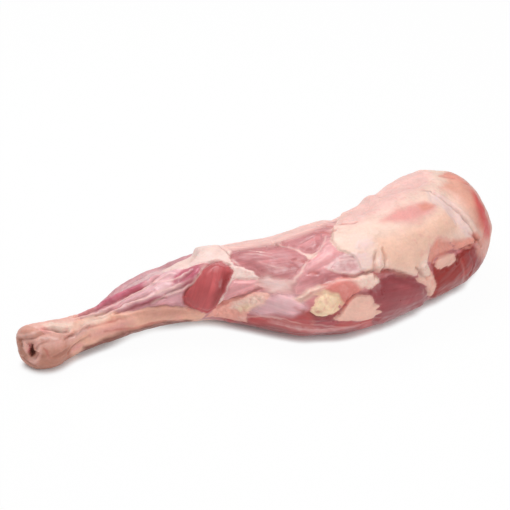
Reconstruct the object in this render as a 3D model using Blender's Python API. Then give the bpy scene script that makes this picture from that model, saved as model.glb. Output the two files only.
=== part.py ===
"""Raw leg of lamb, whole, with the hock left on and the rump cut round.

The leg is one closed body that lies on its side along X, hock at -X and rump at +X, with the
table at Z = 0 and the near side at -Y. It is a loft: rings stand along the leg, their sizes run
smoothly between a few named stations, and each muscle, bone or fat lump then lifts or sinks the
skin of the loft. Sizes are written in millimetres and turned into metres when the mesh is made.
An angle round the leg is 0 at the near side, 90 on top and 180 at the far side.
"""

import math
from collections import namedtuple

import bmesh
import bpy
import numpy as np

MM = 0.001

# ---- driving sizes, in millimetres ----
LENGTH = 540.0
HOCK_ROUNDING = 15.0
RUMP_ROUNDING = 46.0
HOCK_FACE_TURN = math.radians(38)  # the joint face at the hock looks a little to the near side
HOCK_FACE_REACH = 60.0  # the turn fades out this far up the leg
HOCK_FACE_NEARER = 12.0  # the face's middle is off the shank's middle line, to the near side
HOCK_FACE_HIGHER = 9.0
PIT_RADIUS = 4.5  # the open end of the bone, in the joint face
PIT_DEPTH = 9.0
PIT_NEARER = 6.0  # how far it stands from the middle of the face, to the near side
PIT_HIGHER = 1.0
PRESSED = 2.4  # what lies lower than this on the loft is pressed flat by the table

RINGS = 90
SIDES = 46
ROUND_SHARE = 0.85  # how strongly the rings crowd towards the two rounded ends
SECTION_POWER = 2.3  # 2 is an ellipse, and more is squarer
HOCK_POWER = 2.2
RUMP_POWER = 2.2
WAIST = 0.46  # the widest level, as a share of the height

# Distance from the hock's tip, how far the near and far edges stand from the middle line, the
# height of the top, and of the underside: the straight shin bone bridges from hock to thigh.
Station = namedtuple("Station", "name along near far top under")
STATIONS = (
    Station("hock tip", 0, -8, 20, 42, 1),
    Station("hock face rim", 14, -12, 23, 48, 0),
    Station("hock knob", 30, -13, 24, 49, 0),
    Station("ankle", 55, -1, 27, 43, 2),
    Station("lower shank", 84, 1, 36, 42, 6),
    Station("shank", 124, -2, 55, 54, 10),
    Station("calf", 175, -7, 59, 66, 9),
    Station("calf belly", 205, -18, 62, 74, 7),
    Station("knee", 240, -42, 61, 79, 3),
    Station("lower thigh", 285, -79, 48, 90, 0),
    Station("thigh", 335, -90, 41, 102, 0),
    Station("upper thigh", 390, -82, 53, 108, 0),
    Station("hip", 440, -70, 72, 110, 0),
    Station("rump", 480, -58, 86, 106, 0),
    Station("rump rim", 515, -38, 74, 93, 0),
    Station("rump end", 540, -20, 63, 76, 4),
)

# A soft bulge of the skin: where its middle is, its half sizes along and across its own length,
# how that length is turned from the leg's, and how far it stands out, or sinks if below 0.
Bulge = namedtuple("Bulge", "name along angle half_length half_width tilt lift")
BULGES = (
    Bulge("heel bone", 10, 125, 24, 16, 0, 3.0),
    Bulge("ball of the hock", 42, 5, 20, 20, 0, 2.0),
    Bulge("heel tendon", 88, 95, 60, 9, -6, 2.5),
    Bulge("hollow before the tendon", 98, 62, 46, 12, 8, -4.0),
    Bulge("shin bone", 120, -4, 80, 13, 4, 3.5),
    Bulge("calf muscle", 199, 34, 52, 24, 72, 6.5),
    Bulge("outer calf muscle", 158, 62, 46, 16, 12, 3.0),
    Bulge("far calf muscle", 165, 150, 60, 24, 0, 4.0),
    Bulge("knee cap", 209, 108, 24, 24, 0, 3.0),
    Bulge("hollow of the knee", 214, -12, 22, 22, 0, -7.0),
    Bulge("hollow above the calf", 236, 36, 30, 11, 75, -3.5),
    Bulge("front thigh muscle", 262, 82, 46, 22, 6, 3.5),
    Bulge("lower thigh muscle", 272, 8, 40, 20, -8, 4.0),
    Bulge("hollow under the fat", 306, 47, 40, 9, 30, -2.5),
    Bulge("fat lump", 296, 14, 24, 14, 35, 5.5),
    Bulge("fat roll", 330, 28, 30, 10, 20, 3.0),
    Bulge("inner thigh muscle", 366, -6, 50, 22, -10, 3.5),
    Bulge("hollow under the cap", 372, 18, 44, 8, -8, -3.0),
    Bulge("fat cap", 394, 66, 88, 62, 0, 4.0),
    Bulge("hollow behind the cap", 425, 5, 10, 26, 0, -2.5),
    Bulge("rump muscle", 462, -8, 44, 24, 0, 3.0),
    Bulge("crease of the rump", 470, 52, 44, 8, 78, -3.5),
    Bulge("rim of the rump", 498, 60, 70, 14, 85, 3.0),
    Bulge("shoulder of the rump", 452, 150, 40, 34, 0, 2.5),
    Bulge("dip behind the cap", 397, 150, 34, 30, 0, -2.0),
    Bulge("far thigh muscle", 320, 175, 70, 34, 0, 3.5),
    Bulge("far groove", 268, 140, 60, 9, 10, -3.0),
)


def smooth_curve(at, values, where):
    """A curve through the values that never overshoots them: a monotone cubic."""
    step = np.diff(at)
    slope = np.diff(values) / step
    tangent = np.zeros(len(at))
    turns = slope[:-1] * slope[1:] > 0
    before, after = 2 * step[1:] + step[:-1], step[1:] + 2 * step[:-1]
    with np.errstate(divide="ignore", invalid="ignore"):
        mean = (before + after) / (before / slope[:-1] + after / slope[1:])
    tangent[1:-1] = np.where(turns, mean, 0)
    tangent[0], tangent[-1] = slope[0], slope[-1]
    part = np.clip(np.searchsorted(at, where, side="right") - 1, 0, len(at) - 2)
    width = step[part]
    t = (where - at[part]) / width
    return (
        (2 * t**3 - 3 * t**2 + 1) * values[part]
        + (t**3 - 2 * t**2 + t) * width * tangent[part]
        + (3 * t**2 - 2 * t**3) * values[part + 1]
        + (t**3 - t**2) * width * tangent[part + 1]
    )


def profile(name, where):
    """One column of the stations, read at the given distances from the hock's tip."""
    at = np.array([s.along for s in STATIONS], float)
    values = np.array([getattr(s, name) for s in STATIONS], float)
    return smooth_curve(at, values, where)


def ring_places():
    """Distances from the tip at which rings stand, closer together at the rounded ends."""
    t = np.linspace(0, 1, RINGS + 2)[1:-1]
    crowded = (1 - np.cos(math.pi * t)) / 2
    return LENGTH * (ROUND_SHARE * crowded + (1 - ROUND_SHARE) * t)


def hock_rounding(along):
    """1 away from the hock's tip, falling to 0 at the tip on a rounded corner."""
    hock = np.clip((HOCK_ROUNDING - along) / HOCK_ROUNDING, 0, 1)
    return (1 - hock**HOCK_POWER) ** (1 / HOCK_POWER)


def end_rounding(along):
    """1 in the middle of the leg, falling to 0 at both ends on a rounded corner."""
    rump = np.clip((along - (LENGTH - RUMP_ROUNDING)) / RUMP_ROUNDING, 0, 1)
    return hock_rounding(along) * (1 - rump**RUMP_POWER) ** (1 / RUMP_POWER)


def signed_power(value, power):
    return np.sign(value) * np.abs(value) ** power


def loft():
    """Ring points, RINGS x SIDES x 3, before the muscles shape them."""
    along = ring_places()
    near, far, top, under = (profile(name, along) for name in ("near", "far", "top", "under"))
    waist = under + WAIST * (top - under)
    small = end_rounding(along)
    angle = np.linspace(0, 2 * math.pi, SIDES, endpoint=False)
    out = -signed_power(np.cos(angle), 2 / SECTION_POWER)
    up = signed_power(np.sin(angle), 2 / SECTION_POWER)
    off_line = 1 - hock_rounding(along)
    half = (far - near) / 2
    middle = (near + far) / 2 - HOCK_FACE_NEARER * off_line
    y = middle[:, None] + (small * half)[:, None] * out
    reach = np.where(up > 0, (top - waist)[:, None], (waist - under)[:, None])
    z = (waist + HOCK_FACE_HIGHER * off_line)[:, None] + small[:, None] * reach * up
    x = np.repeat(along[:, None], SIDES, axis=1)
    return np.stack([x, y, z], -1)


def bulged(points):
    """The rings with every bulge added, each along the direction out of its ring."""
    low, high = points.min(axis=1, keepdims=True), points.max(axis=1, keepdims=True)
    away = points - (low + high) / 2
    away[..., 0] = 0
    reach = np.linalg.norm(away, axis=-1)
    direction = away / reach[..., None]
    full_reach = reach / end_rounding(points[..., 0])
    angle = np.arctan2(direction[..., 2], -direction[..., 1])
    lift = np.zeros(points.shape[:2])
    for bulge in BULGES:
        turn = (angle - math.radians(bulge.angle) + math.pi) % (2 * math.pi) - math.pi
        run, across = points[..., 0] - bulge.along, turn * full_reach
        c, s = math.cos(math.radians(bulge.tilt)), math.sin(math.radians(bulge.tilt))
        long_way = (run * c + across * s) / bulge.half_length
        short_way = (across * c - run * s) / bulge.half_width
        lift += bulge.lift * np.clip(1 - long_way**2 - short_way**2, 0, 1) ** 1.5
    return points + direction * (lift * end_rounding(points[..., 0]))[..., None]


def pressed(points):
    """The rings let down by PRESSED, with what would be under the table pushed flat."""
    points = points.copy()
    points[..., 2] = np.maximum(points[..., 2] - PRESSED, 0)
    return points


def turned_face(points):
    """The rings near the hock's tip leaned over, so that the joint face looks to the near side."""
    points = points.copy()
    fade = np.clip(1 - points[..., 0] / HOCK_FACE_REACH, 0, 1) ** 2
    along = points[:, 0, 0].copy()
    middle = (profile("near", along) + profile("far", along)) / 2
    points[..., 0] -= math.tan(HOCK_FACE_TURN) * fade * (points[..., 1] - middle[:, None])
    return points


def pit_rings(rim):
    """Rings from the joint face's rim in to the bottom of the pit, and the bottom's middle."""
    middle = rim.mean(axis=0) + [math.tan(HOCK_FACE_TURN) * PIT_NEARER, -PIT_NEARER, PIT_HIGHER]
    away = rim - middle
    reach = np.linalg.norm(away, axis=1).mean()
    rings = []
    for radius, depth in ((1.7, 0.05), (1.0, 0.12), (0.85, 0.55), (0.5, 0.92)):
        share = radius * PIT_RADIUS / reach
        rings.append(middle + away * share + [depth * PIT_DEPTH, 0, 0])
    return rings, middle + [PIT_DEPTH, 0, 0]


def build_mesh(points):
    """Skins the rings, from the bottom of the hock's pit to the rump's end, over the origin."""
    inner, bottom = pit_rings(points[0])
    end = np.array([LENGTH, *points[-1].mean(axis=0)[1:]])
    low, high = points.min(axis=(0, 1)), np.maximum(points.max(axis=(0, 1)), end)
    to_frame = np.array([-(low[0] + high[0]) / 2, -(low[1] + high[1]) / 2, 0])
    mesh = bpy.data.meshes.new("leg_of_lamb")
    bm = bmesh.new()
    rings = [[bm.verts.new((p + to_frame) * MM) for p in ring] for ring in [*inner[::-1], *points]]
    for first, second in zip(rings[:-1], rings[1:], strict=True):
        for i in range(SIDES):
            j = (i + 1) % SIDES
            bm.faces.new((first[i], first[j], second[j], second[i]))
    for ring, middle in ((rings[0], bottom), (rings[-1][::-1], end)):
        pole = bm.verts.new((middle + to_frame) * MM)
        for i in range(SIDES):
            bm.faces.new((ring[(i + 1) % SIDES], ring[i], pole))
    bmesh.ops.recalc_face_normals(bm, faces=bm.faces)
    bm.to_mesh(mesh)
    bm.free()
    mesh.shade_smooth()
    return mesh


def raw_meat():
    """Pale red meat with a moist surface."""
    material = bpy.data.materials.new("raw_meat")
    material.use_nodes = True
    shader = material.node_tree.nodes["Principled BSDF"]
    shader.inputs["Base Color"].default_value = (0.62, 0.25, 0.22, 1)
    shader.inputs["Roughness"].default_value = 0.4
    return material


def main():
    for obj in list(bpy.data.objects):
        bpy.data.objects.remove(obj)
    points = turned_face(pressed(bulged(loft())))
    leg = bpy.data.objects.new("leg_of_lamb", build_mesh(points))
    leg.data.materials.append(raw_meat())
    bpy.context.scene.collection.objects.link(leg)


main()
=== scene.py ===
"""Looks for the raw leg of lamb: its skin of muscle, fat and membrane, and a plain white studio.

The frame's solid gives the shape. A fine grid of points is cast onto it from the leg's middle line,
and every point gets a place on a chart of the leg: how far it stands from the hock's tip, in
millimetres, and its angle round the leg, 0 at the near side, 90 on top and 180 at the far side.
Muscles, fat and membranes are outlines on that chart, and tendons, seams and creases are lines on
it. They raise or sink the skin, and are kept on it as attributes that the material reads. Some of
them paint light and shade into the colour: paler tops and ridges, darker undersides and creases.
"""
import itertools
import math
from collections import namedtuple
import bpy
import numpy as np
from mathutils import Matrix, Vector
from mathutils.bvhtree import BVHTree


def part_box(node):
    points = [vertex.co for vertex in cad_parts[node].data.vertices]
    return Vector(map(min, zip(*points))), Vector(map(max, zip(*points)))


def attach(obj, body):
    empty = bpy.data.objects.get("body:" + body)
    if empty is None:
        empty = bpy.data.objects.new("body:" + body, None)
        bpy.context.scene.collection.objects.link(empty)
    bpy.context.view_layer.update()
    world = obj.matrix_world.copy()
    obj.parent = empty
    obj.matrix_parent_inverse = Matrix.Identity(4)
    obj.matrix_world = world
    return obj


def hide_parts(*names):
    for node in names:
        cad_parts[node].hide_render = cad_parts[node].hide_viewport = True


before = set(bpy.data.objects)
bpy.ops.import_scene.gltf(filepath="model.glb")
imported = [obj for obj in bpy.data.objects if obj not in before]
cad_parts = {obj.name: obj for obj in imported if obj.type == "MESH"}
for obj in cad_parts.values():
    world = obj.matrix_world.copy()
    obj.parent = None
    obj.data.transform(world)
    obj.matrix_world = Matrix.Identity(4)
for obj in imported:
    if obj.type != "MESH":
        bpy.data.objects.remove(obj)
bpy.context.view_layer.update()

MM = 0.001
NODE = "leg_of_lamb"

# ---- camera, in metres and degrees ----
CAMERA_AZIMUTH = -22.0
CAMERA_ELEVATION = 35.0
CAMERA_DISTANCE = 1.5
CAMERA_LENS = 98.5
CAMERA_TARGET = Vector((-0.0003, 0.0412, 0.05))

# ---- light: world strength, then each lamp's name, place in metres, size and watts ----
WORLD_LIGHT = 0.36
FLOOR_COLOUR = (0.90, 0.90, 0.90)
SHADOW_REACH = 11 * MM
LAMP_AIM = Vector((0.03, 0.0, 0.05))
LAMPS = (
    ("overhead", (-0.08, 0.50, 1.20), 0.75, 11.0),
    ("front fill", (0.2, -1.15, 0.85), 0.7, 6.5),
)

# ---- the grid of the skin ----
RING_STEP = 1.0  # mm between rings along the straight part
HOCK_CAP_START = 20.0  # mm from the tip, where rings start to lean over towards it
RUMP_CAP_START = 494.0
HOCK_CAP_RINGS = 36
RUMP_CAP_RINGS = 56
SHOWN_FROM, SHOWN_TO = -60.0, 150.0  # degrees round the leg that get the fine spacing
SHOWN_SIDES = 220
HIDDEN_SIDES = 74
MIDDLE_REACH = 8.0  # mm of leg that each point of the middle line is taken from
MIDDLE_BLUR = 6.0
FIRST_ANGLE = -110.0  # degrees, where angles round the leg start, below it
SMOOTHING = 16  # passes that take the solid's facets out of the skin

# ---- tissue colours, linear; "hock brown and shade" and "shank shade and juice" are partly painted shade ----
PALETTE = {
    "rose": (0.60, 0.225, 0.235),
    "light rose": (0.82, 0.375, 0.385),
    "deep rose": (0.56, 0.19, 0.20),
    "dark red": (0.54, 0.10, 0.105),
    "deep red": (0.33, 0.04, 0.042),
    "crimson": (0.60, 0.15, 0.21),
    "mauve": (0.66, 0.32, 0.35),
    "lavender": (0.84, 0.47, 0.50),
    "purple red": (0.355, 0.064, 0.074),
    "rump red": (0.335, 0.024, 0.018),
    "lower red": (0.54, 0.085, 0.085),
    "cream": (0.90, 0.64, 0.54),
    "knee cream": (0.90, 0.66, 0.60),
    "pale pink": (0.90, 0.56, 0.51),
    "tan": (0.91, 0.57, 0.44),
    "beige": (0.88, 0.52, 0.42),
    "yellow fat": (0.95, 0.68, 0.46),
    "orange fat": (0.94, 0.45, 0.37),
    "pale orange": (0.96, 0.66, 0.56),
    "roll pink": (0.74, 0.235, 0.20),
    "hock tan": (0.66, 0.31, 0.235),
    "hock brown and shade": (0.52, 0.22, 0.155),
    "hock pink": (0.82, 0.45, 0.38),
    "light red": (0.80, 0.36, 0.33),
    "rim pink": (0.78, 0.33, 0.26),
    "rim red": (0.72, 0.088, 0.08),
    "shoulder pink": (0.75, 0.37, 0.28),
    "bone strip": (0.86, 0.47, 0.35),
    "shank shade and juice": (0.25, 0.08, 0.055),
    "marrow": (0.23, 0.07, 0.05),
}
FILM_COLOUR = (0.84, 0.61, 0.60)
# pale seams: fascia, and painted highlight on ridges and lips
SEAM_AND_HIGHLIGHT_COLOUR = (0.92, 0.62, 0.57)
# creases: painted shade in the grooves, dark with some blood
CREASE_SHADE_AND_BLOOD_COLOUR = (0.26, 0.07, 0.05)
# blood: red marks, and painted shade under edges and in dents
BLOOD_AND_SHADE_COLOUR = (0.52, 0.11, 0.09)
BLOOD_AND_SHADE_STRENGTH, SEAM_AND_HIGHLIGHT_STRENGTH, CREASE_SHADE_STRENGTH = 0.62, 0.85, 0.62

# ---- fine grain of the material ----
FIBRES_PER_MM = (0.025, 0.34, 0)  # along a muscle's fibres, across them and through them
THREADS_PER_MM = (0.02, 0.12, 0)
RELIEF_STRENGTH = 0.6
RELIEF_HEIGHT = 0.8 * MM

# A patch of tissue: its outline on the chart, in mm and degrees, how softly its colour fades over
# the edge, how high it stands and over what width it rises to that, how crumbly it is, and which
# way its fibres run from the leg's own direction. Later patches lie over earlier ones. A film or a
# thinner veil lets the tissue under it show, a tinting patch only changes its colour, and a form
# only lifts it. Tints are real discolourings, and some are painted light and shade: paler tops and
# darker undersides.
Patch = namedtuple(
    "Patch",
    "name tissue colour outline fade lift rise crumb grain",
    defaults=(2.0, 0.0, 3.0, 0.0, 0.0),
)
PATCHES = (
    # swellings that the solid has only roughly
    Patch("full lower edge", "form", None,
          ((300, -34), (340, -24), (420, -22), (490, -12), (506, -100), (310, -100)), 1, 2.0, 14),
    Patch("saddle before the hump", "form", None,
          ((336, 100), (372, 92), (392, 96), (402, 112), (402, 170), (336, 170)), 1, -5.0, 15),
    Patch("top of the rump", "form", None,
          ((402, 112), (420, 100), (450, 96), (480, 104), (480, 170), (402, 170)), 1, -2.5, 8),
    Patch("knee bump", "form", None,
          ((190, 118), (200, 94), (214, 88), (228, 98), (234, 124), (226, 150), (196, 150)),
          1, 1.5, 9),
    Patch("slim back of the calf", "form", None,
          ((104, 104), (150, 90), (190, 86), (208, 106), (208, 165), (104, 165)), 1, -6.6, 9),
    Patch("full end of the rump", "form", None,
          ((480, 56), (486, 120), (508, 170), (540, 130), (540, -10), (512, 0), (494, 24)),
          1, 2.4, 16),
    # the far side and the underside
    Patch("far cover", "fat", "pale pink",
          ((236, 150), (300, 134), (380, 128), (520, 120), (538, 190), (520, 262), (440, 268),
           (360, 250), (300, 252), (262, 214), (240, 190)), 8, 0.8, 4),
    Patch("window in the far cover", "muscle", "rose",
          ((278, 186), (294, 175), (314, 180), (338, 168), (354, 175), (340, 188), (320, 191),
           (306, 201), (290, 195)), 4, -0.4, 4, 0, 10),
    Patch("second far window", "muscle", "deep rose",
          ((364, 224), (382, 213), (400, 217), (430, 204), (450, 211), (436, 227), (414, 231),
           (398, 243), (380, 235)), 4, -0.4, 4, 0, -8),
    Patch("veil on the far windows", "veil", "lavender",
          ((300, 205), (330, 186), (356, 176), (392, 220), (420, 240), (440, 206), (460, 214),
           (400, 256)), 9),
    Patch("far tan", "stain and painted shading", "tan",
          ((390, 150), (470, 146), (500, 190), (450, 210), (400, 190)), 12),
    Patch("far shin fat", "fat", "bone strip",
          ((48, 300), (48, 130), (70, 118), (84, 136), (94, 176), (108, 216), (130, 244),
           (190, 262), (226, 300), (180, 330), (120, 340), (48, 335)), 6, 0.4, 4),
    Patch("far calf belly", "muscle", "mauve",
          ((96, 150), (150, 140), (214, 150), (238, 190), (222, 236), (170, 238), (120, 214)),
          5, 1.8, 9, 0, 4),
    Patch("under fat", "fat", "beige",
          ((300, 262), (380, 268), (452, 282), (446, 308), (380, 314), (310, 296)), 6, 0.6, 4),
    # hock
    Patch("hock", "fat", "hock tan",
          ((-8, -80), (-8, 290), (46, 290), (54, 200), (56, 120), (50, 80), (58, 44), (52, 0),
           (48, -80)), 6, 0, 3, 0.2),
    # Painted shade and light: the ball is darkened on its low side and made paler on its upper
    # side, as the light falls on it.
    Patch("low side of the ball", "stain and painted shading", "hock brown and shade",
          ((12, -16), (24, 2), (34, 10), (46, 4), (54, -8), (50, -80), (8, -80)), 7),
    Patch("light side of the ball", "stain and painted shading", "hock pink",
          ((16, 44), (24, 52), (38, 50), (46, 38), (40, 26), (28, 30)), 6, 0.5, 6),
    Patch("top of the hock", "fat", "hock pink",
          ((0, 66), (14, 66), (28, 68), (38, 58), (50, 44), (60, 42), (70, 60), (66, 110),
           (40, 170), (0, 180)), 4, 0.9, 4, 0.2),
    Patch("pink of the heel", "stain and painted shading", "light red",
          ((18, 78), (28, 90), (36, 84), (32, 72), (22, 70)), 4),
    Patch("heel cream", "fat", "cream",
          ((28, 100), (36, 102), (48, 92), (58, 80), (58, 68), (50, 62), (42, 66), (35, 74),
           (30, 86)), 2.5, 1.6, 4),
    # shank
    Patch("bone strip", "fat", "bone strip",
          ((52, -34), (52, 40), (62, 76), (76, 84), (92, 80), (100, 62), (108, 42), (122, 30),
           (140, 23), (156, 17), (172, 8), (184, -8), (194, -17), (190, -34), (120, -60),
           (60, -60)), 3, 0.5, 3, 0.14),
    Patch("pale top of the shank", "stain and painted shading", "cream",
          ((60, 60), (74, 78), (92, 76), (100, 58), (92, 44), (70, 44)), 6),
    Patch("neck pink", "fat", "hock pink",
          ((48, 20), (58, 24), (72, 34), (78, 46), (62, 52), (48, 42)), 3, 0.9, 3, 0.35),
    Patch("low neck red", "stain and painted shading", "light red",
          ((50, -26), (54, -10), (62, -4), (66, -14), (60, -30)), 4),
    Patch("orange side of the shank", "stain and painted shading", "light red",
          ((74, 12), (92, 20), (118, 12), (110, 0), (84, 0)), 8),
    # Painted shade, partly dark juice: the shank's underside is darkened where it lies close to the
    # floor.
    Patch("underside of the shank", "stain and painted shading", "shank shade and juice",
          ((66, -22), (84, -14), (106, -5), (130, -8), (156, -18), (180, -30), (180, -80),
           (60, -80)), 3),
    Patch("tan end of the bone strip", "stain and painted shading", "hock tan",
          ((122, 22), (140, 20), (156, 14), (172, 4), (182, -10), (160, -10), (132, 4)), 6),
    Patch("calf ground", "muscle", "mauve",
          ((86, 90), (100, 74), (106, 50), (120, 33), (140, 26), (156, 20), (174, 10),
           (184, 20), (196, 62), (190, 90), (160, 150), (100, 150)), 3, 0, 3, 0, 4),
    Patch("front shin muscle", "muscle", "crimson",
          ((88, 96), (98, 90), (108, 87), (121, 84), (134, 80), (146, 76), (158, 84), (164, 104),
           (150, 118), (136, 122), (122, 132), (108, 140), (92, 136)), 3, 1.4, 5, 0, 4),
    Patch("outer calf muscle", "muscle", "lavender",
          ((138, 70), (150, 66), (176, 66), (184, 84), (184, 112), (160, 116), (146, 96)),
          5, 1.2, 6, 0, 6),
    Patch("middle calf muscle", "muscle", "lavender",
          ((104, 60), (116, 44), (132, 42), (160, 44), (172, 52), (160, 64), (134, 66),
           (112, 68)), 3, 1.3, 4, 0, 4),
    Patch("inner calf muscle", "muscle", "mauve",
          ((110, 40), (124, 36), (152, 35), (172, 36), (178, 24), (172, 10), (154, 18),
           (138, 24), (122, 28)), 3, 0.9, 4, 0, 4),
    Patch("crimson in the calf", "stain and painted shading", "crimson",
          ((112, 38), (124, 40), (148, 39), (160, 34), (140, 30), (122, 32)), 3),
    Patch("red calf strips", "muscle", "crimson",
          ((166, 52), (182, 46), (190, 50), (198, 62), (196, 76), (182, 78), (172, 68)),
          3, 1.0, 4, 0, 22),
    Patch("knee fat", "fat", "knee cream",
          ((164, 104), (178, 84), (196, 77), (208, 74), (219, 76), (227, 66), (230, 76),
           (232, 92), (240, 104), (240, 128), (226, 150), (186, 146), (166, 128)), 4, 0.9, 4),
    Patch("belly", "muscle", "dark red",
          ((206, 72), (217, 74), (226, 63), (226, 52), (220, 36), (214, 25), (207, 9),
           (203, -8), (193, -13), (184, -2), (175, 10), (174, 25), (180, 37), (188, 48),
           (196, 58)), 1.2, 3.6, 9, 0, 62),
    # Painted light: the top of the belly is made paler where the light falls on it.
    Patch("bright top of the belly", "stain and painted shading", "rose",
          ((206, 74), (217, 74), (226, 63), (218, 64), (206, 68), (198, 64)), 4),
    Patch("deep side of the belly", "stain and painted shading", "deep red",
          ((205, 8), (212, 26), (220, 42), (224, 52), (218, 48), (208, 34), (200, 12),
           (196, -8)), 4),
    Patch("strip round the belly", "fat", "knee cream",
          ((224, 78), (231, 72), (233, 60), (230, 50), (223, 36), (216, 24), (210, 6),
           (206, -18), (204, -8), (208, 9), (215, 26), (221, 37), (227, 52), (227, 63)),
          1.5, 0.9, 2),
    # lower thigh
    Patch("cream triangle", "fat", "knee cream",
          ((231, 66), (238, 62), (245, 52), (249, 43), (246, 39), (234, 41), (225, 39),
           (229, 52)), 1.5, 0.9, 2.5),
    Patch("three-sided muscle", "muscle", "light rose",
          ((225, 37), (234, 40), (246, 38), (247, 30), (240, 23), (227, 15), (213, 6),
           (212, 18), (218, 29)), 1.5, 1.9, 4, 0, 20),
    Patch("back thigh muscle", "muscle", "rose",
          ((236, 120), (250, 100), (274, 101), (286, 96), (294, 74), (298, 64), (293, 57),
           (285, 54), (277, 43), (270, 35), (262, 38), (252, 42), (250, 50), (246, 58),
           (236, 66), (231, 76), (232, 92), (238, 104)), 2, 1.5, 9, 0, 8),
    Patch("pale streak", "fat", "pale pink",
          ((250, 97), (260, 91), (268, 84), (260, 87), (251, 94)), 1.5, 0.3, 2),
    Patch("top thigh muscle", "muscle", "rose",
          ((280, 118), (297, 116), (324, 100), (318, 84), (314, 73), (306, 73), (296, 81),
           (284, 95)), 2, 2.0, 6, 0, 14),
    Patch("middle thigh muscle", "muscle", "light rose",
          ((301, 64), (310, 69), (318, 78), (326, 84), (332, 62), (318, 48), (312, 42),
           (320, 35), (332, 31), (316, 32), (300, 29), (286, 25), (274, 24), (278, 33),
           (284, 42), (290, 51), (296, 60)), 2, 1.3, 6, 0, 12),
    Patch("red foot of the middle muscle", "stain and painted shading", "rose",
          ((290, 44), (304, 46), (316, 38), (300, 32), (286, 30), (280, 34)), 5),
    Patch("deep corner", "muscle", "deep rose",
          ((306, 40), (314, 42), (324, 34), (336, 31), (326, 30), (312, 31), (300, 30)),
          3, -0.8, 3, 0, 0),
    Patch("seam triangle", "fat", "cream",
          ((296, 76), (304, 71), (309, 68), (303, 62), (299, 62)), 1.5, 0.6, 2),
    Patch("lower edge", "muscle", "lower red",
          ((214, -34), (232, -24), (240, -8), (256, -1), (270, 1), (282, 10), (298, 6),
           (316, -4), (330, -16), (352, -18), (376, -26), (360, -60), (220, -60)),
          4, 0.6, 5, 0, -4),
    # Painted shade: the thigh's lower edge is darkened towards the floor.
    Patch("deep lower edge", "stain and painted shading", "deep red",
          ((224, -30), (250, -20), (290, -24), (340, -26), (340, -50), (230, -46)), 6),
    Patch("inner thigh muscle", "muscle", "lavender",
          ((246, 18), (258, 24), (270, 23), (277, 17), (281, 10), (270, 3), (256, -1),
           (242, -7), (236, -3), (240, 8)), 5, 1.8, 7, 0, -12),
    Patch("pink under the fascia", "stain and painted shading", "pale pink",
          ((248, 40), (256, 44), (264, 40), (272, 36), (276, 36), (270, 26), (256, 24),
           (246, 30)), 6),
    Patch("white fascia", "film", "cream",
          ((250, 40), (256, 41), (264, 38), (273, 36), (272, 30), (262, 27), (250, 30)), 5),
    Patch("purple edge", "muscle", "purple red",
          ((286, 3), (298, 2), (308, -3), (312, -12), (300, -16), (288, -10)), 5, 0.3, 4),
    Patch("orange fat", "fat", "orange fat",
          ((194, -30), (201, -12), (210, 4), (226, 14), (240, 21), (252, 23), (250, 15),
           (243, 8), (236, 0), (233, -12), (234, -26), (224, -34), (210, -34)),
          2.5, 1.3, 3, 0.85),
    Patch("pale part of the orange fat", "stain and painted shading", "pale orange",
          ((224, 8), (238, 18), (250, 20), (246, 10), (236, 2), (228, -8), (220, -6)), 4),
    Patch("yellow in the orange fat", "stain and painted shading", "yellow fat",
          ((226, -4), (232, 4), (238, 6), (234, -2), (229, -8)), 4),
    # thigh and rump, lower part
    Patch("dark thigh muscle", "muscle", "purple red",
          ((346, 16), (360, 18), (374, 17), (388, 13), (402, 4), (414, -8), (424, -20),
           (424, -50), (370, -50), (352, -24), (352, -6), (346, 6)), 2, 2.4, 8, 0, -14),
    Patch("beige patch", "fat", "beige",
          ((319, 7), (324, 13), (336, 13), (346, 9), (350, 4), (349, 1), (356, -3),
           (354, -7), (359, -11), (353, -14), (352, -17), (344, -18), (330, -13), (312, -8),
           (305, -4), (313, 0)), 4, 0.9, 2, 0.3),
    Patch("roll", "fat", "roll pink",
          ((270, 18), (286, 26), (302, 31), (316, 32), (330, 32), (340, 30), (344, 22),
           (336, 15), (328, 14), (320, 8), (314, 3), (313, 14), (306, 20), (296, 21),
           (286, 19), (276, 15)), 2.5, 3.6, 5, 0.3),
    Patch("pale end of the roll", "stain and painted shading", "pale orange",
          ((328, 31), (340, 30), (346, 22), (338, 18), (332, 24)), 4),
    Patch("pale edge of the roll", "stain and painted shading", "cream",
          ((270, 18), (286, 26), (298, 30), (304, 27), (290, 20), (276, 15)), 3),
    Patch("yellow lump", "fat", "yellow fat",
          ((283, 7), (289, 14), (294, 20), (301, 23), (307, 20), (312, 18), (315, 11),
           (312, 8), (313, 4), (306, 1), (300, 2), (294, 1), (288, 3)), 2.0, 2.2, 4, 0.8),
    Patch("red rump muscle", "muscle", "rump red",
          ((426, 12), (440, 6), (456, 8), (470, 12), (484, 10), (500, 0), (506, -20),
           (490, -50), (430, -50), (430, -20)), 2.5, 1.4, 6, 0, 30),
    Patch("dark rump spot", "stain and painted shading", "deep red",
          ((470, 8), (486, 7), (497, -1), (494, -14), (480, -10)), 4),
    Patch("cream strip", "fat", "beige",
          ((404, 4), (410, 10), (420, 8), (428, -2), (431, -12), (430, -26), (423, -22),
           (416, -8), (409, -1)), 1.5, 2.2, 3, 0.9),
    # the fat cap
    Patch("cap", "fat", "cream",
          ((366, 150), (350, 124), (340, 106), (332, 93), (325, 78), (328, 64), (334, 58),
           (340, 46), (340, 34), (350, 30), (360, 28), (372, 24), (384, 18), (394, 12),
           (406, 8), (418, 14), (424, 25), (440, 28), (452, 24), (462, 16), (484, 13),
           (500, 12), (510, 40), (520, 80), (520, 150)), 1.5, 2.2, 2.6, 0.11),
    Patch("pink top of the cap", "stain and painted shading", "pale pink",
          ((362, 136), (344, 112), (338, 98), (366, 88), (400, 86), (440, 92), (470, 104),
           (470, 150), (380, 150)), 14),
    Patch("tan core", "stain and painted shading", "tan",
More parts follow.
